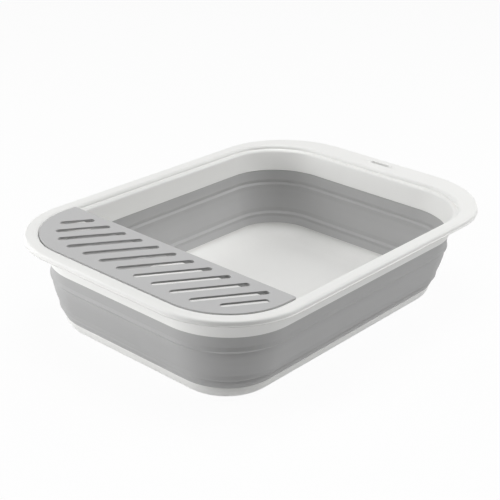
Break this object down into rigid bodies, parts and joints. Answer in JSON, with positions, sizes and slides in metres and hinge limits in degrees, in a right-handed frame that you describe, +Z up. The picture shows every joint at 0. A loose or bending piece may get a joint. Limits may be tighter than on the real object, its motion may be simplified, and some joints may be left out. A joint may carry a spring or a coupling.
{
  "type": "pet bathtub",
  "caption": "Collapsible rectangular tub with a folding soft wall between a hard rim and base, a lift-off slotted shelf at one end and a handle at the other.",
  "frame": {"origin": "on the ground under the middle of the basin, the middle of the flat underside of the base tray", "axes": "+Z up, +X along the tub towards the handle end, +Y across it; the shelf is at the -X end"},
  "size_m": [0.48, 0.35, 0.1132],
  "materials": {
    "white_plastic": "white polypropylene, satin moulded",
    "grey_elastomer": "light grey thermoplastic elastomer, matte",
    "grey_plastic": "light grey polypropylene, matte"
  },
  "bodies": {
    "base": {"base_tray": "white_plastic", "lower_wall_panel": "grey_elastomer"},
    "wall": {"middle_wall_panel": "grey_elastomer"},
    "rim": {"rim_frame": "white_plastic", "upper_wall_panel": "grey_elastomer"},
    "shelf": {"drain_shelf": "grey_plastic"}
  },
  "joints": [
    {"name": "rim_fold", "type": "slide", "parent": "base", "child": "rim", "axis": [0, 0, -1], "range_m": [0, 0.06]},
    {"name": "wall_fold", "type": "slide", "parent": "base", "child": "wall", "axis": [0, 0, -1], "range_m": [0, 0.03]},
    {"name": "shelf_lift", "type": "slide", "parent": "rim", "child": "shelf", "axis": [0, 0, 1], "range_m": [0, 0.06]}
  ],
  "couplings": [
    {"joint": "wall_fold", "follows": "rim_fold", "ratio": 0.5}
  ]
}
